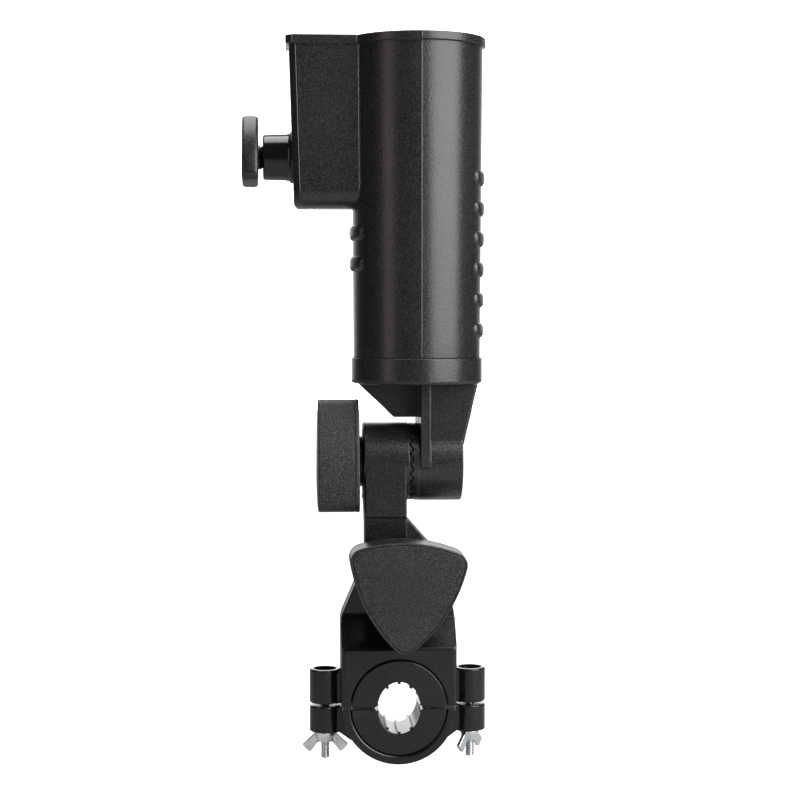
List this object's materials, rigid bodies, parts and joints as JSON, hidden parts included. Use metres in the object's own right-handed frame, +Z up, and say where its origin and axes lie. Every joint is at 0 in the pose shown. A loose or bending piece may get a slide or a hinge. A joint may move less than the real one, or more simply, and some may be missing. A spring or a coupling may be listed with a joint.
{
  "type": "clamp-on rod holder",
  "caption": "Open tube with a side pocket and thumb screw, tilting and swivelling on toothed knob joints above a split bar clamp with wing nuts.",
  "frame": {"origin": "centre of the bar clamp's bore, half way along it", "axes": "+Y along the clamped bar, away from the swivel knob; +Z up the tube; +X to the right seen from the knob side"},
  "size_m": [0.1066, 0.0647, 0.3165],
  "materials": {
    "tube_plastic": "black moulded plastic with a fine spark grain",
    "arm_plastic": "black glass-filled plastic, fine grain",
    "knob_plastic": "black plastic with a coarser stipple grain",
    "clamp_plastic": "black plastic, satin",
    "washer_plastic": "smooth black plastic",
    "pad_rubber": "soft black rubber",
    "zinc_steel": "bright zinc plate"
  },
  "bodies": {
    "clamp_body": {"clamp_body": "clamp_plastic", "reducer_upper": "clamp_plastic", "clamp_bolt_left": "zinc_steel", "clamp_bolt_right": "zinc_steel", "swivel_bolt": "zinc_steel"},
    "jaw": {"clamp_jaw": "clamp_plastic", "reducer_lower": "clamp_plastic"},
    "wing_nut_left": {"wing_nut_left": "zinc_steel"},
    "wing_nut_right": {"wing_nut_right": "zinc_steel"},
    "arm": {"arm": "arm_plastic"},
    "swivel_washer": {"swivel_washer": "washer_plastic"},
    "swivel_knob": {"swivel_knob": "knob_plastic", "swivel_nut": "zinc_steel"},
    "tilt_washer": {"tilt_washer": "washer_plastic"},
    "tilt_knob": {"tilt_knob": "knob_plastic", "tilt_nut": "zinc_steel"},
    "holder": {"holder_tube": "tube_plastic", "tube_base": "tube_plastic", "tilt_bolt": "zinc_steel"},
    "clamp_pad": {"rod_clamp_pad": "pad_rubber"},
    "thumb_screw": {"thumb_screw": "knob_plastic"}
  },
  "joints": [
    {"name": "swivel", "type": "hinge", "parent": "clamp_body", "child": "arm", "pos_m": [0.0024, 0, 0.055], "axis": [0, 1, 0], "range_deg": [-75, 90]},
    {"name": "tilt", "type": "hinge", "parent": "arm", "child": "holder", "pos_m": [0, 0, 0.1072], "axis": [1, 0, 0], "range_deg": [-90, 75]},
    {"name": "swivel_washer_slide", "type": "slide", "parent": "arm", "child": "swivel_washer", "axis": [0, -1, 0], "range_m": [0, 0.0021]},
    {"name": "swivel_knob_turn", "type": "hinge", "parent": "swivel_washer", "child": "swivel_knob", "pos_m": [0.0024, -0.0254, 0.055], "axis": [0, -1, 0], "range_deg": [0, 720]},
    {"name": "tilt_washer_slide", "type": "slide", "parent": "arm", "child": "tilt_washer", "axis": [-1, 0, 0], "range_m": [0, 0.0021]},
    {"name": "tilt_knob_turn", "type": "hinge", "parent": "tilt_washer", "child": "tilt_knob", "pos_m": [-0.0264, 0, 0.1072], "axis": [-1, 0, 0], "range_deg": [0, 720]},
    {"name": "clamp_pad_slide", "type": "slide", "parent": "holder", "child": "clamp_pad", "axis": [1, 0, 0], "range_m": [-0.0271, 0.0016]},
    {"name": "thumb_screw_turn", "type": "hinge", "parent": "clamp_pad", "child": "thumb_screw", "pos_m": [-0.0646, 0, 0.24], "axis": [1, 0, 0], "range_deg": [-3240, 180]},
    {"name": "jaw_open", "type": "slide", "parent": "clamp_body", "child": "jaw", "axis": [0, 0, -1], "range_m": [0, 0.0056]},
    {"name": "wing_nut_left_turn", "type": "hinge", "parent": "jaw", "child": "wing_nut_left", "pos_m": [-0.0321, 0, -0.015], "axis": [0, 0, -1], "range_deg": [0, 2890]},
    {"name": "wing_nut_right_turn", "type": "hinge", "parent": "jaw", "child": "wing_nut_right", "pos_m": [0.0321, 0, -0.015], "axis": [0, 0, -1], "range_deg": [0, 2890]}
  ],
  "couplings": [
    {"joint": "swivel_washer_slide", "follows": "swivel_knob_turn", "m_per_rad": 0.00015915},
    {"joint": "tilt_washer_slide", "follows": "tilt_knob_turn", "m_per_rad": 0.00015915},
    {"joint": "clamp_pad_slide", "follows": "thumb_screw_turn", "m_per_rad": 0.00047746},
    {"joint": "wing_nut_left_turn", "follows": "jaw_open", "rad_per_m": 8976},
    {"joint": "wing_nut_right_turn", "follows": "jaw_open", "rad_per_m": 8976}
  ]
}
